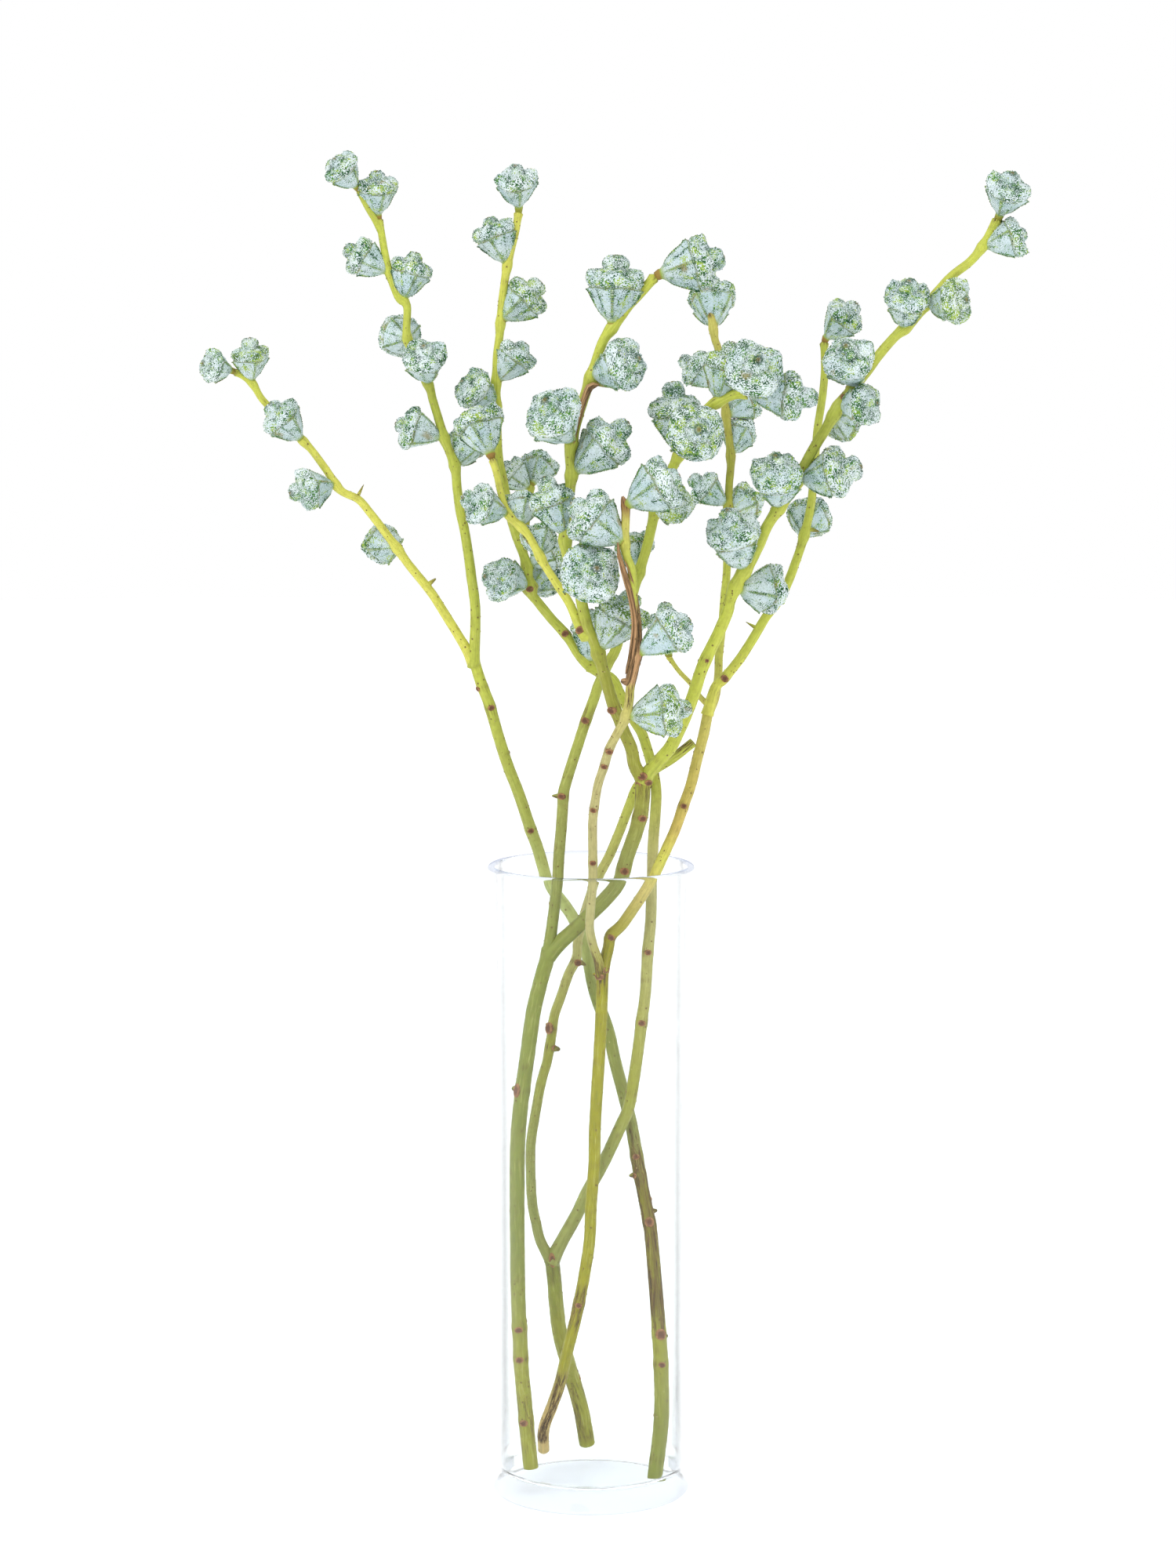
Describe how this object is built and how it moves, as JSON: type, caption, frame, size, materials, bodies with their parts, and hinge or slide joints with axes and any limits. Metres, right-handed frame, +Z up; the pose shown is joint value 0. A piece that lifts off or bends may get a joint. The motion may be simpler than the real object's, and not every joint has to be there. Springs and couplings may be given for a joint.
{
  "type": "gum nut sprigs in a glass vase",
  "caption": "Cut eucalyptus stems carrying ribbed, warty gum nuts with a pale waxy bloom, standing in a tall clear glass cylinder vase.",
  "frame": {"origin": "centre of the vase's underside, where it stands", "axes": "+Z up along the vase's axis; -Y faces the viewer, and +X is to the right in the picture"},
  "size_m": [0.398, 0.17, 0.6514],
  "materials": {
    "clear_glass": "clear, polished, faintly green in its thick floor",
    "stem_bark": "smooth satin bark, yellow-green with reddish-brown leaf scars, and nuts in a matte pale waxy bloom"
  },
  "bodies": {
    "root": {"vase": "clear_glass", "stem_a": "stem_bark", "stem_b": "stem_bark", "stem_c": "stem_bark", "stem_d": "stem_bark"}
  },
  "joints": []
}
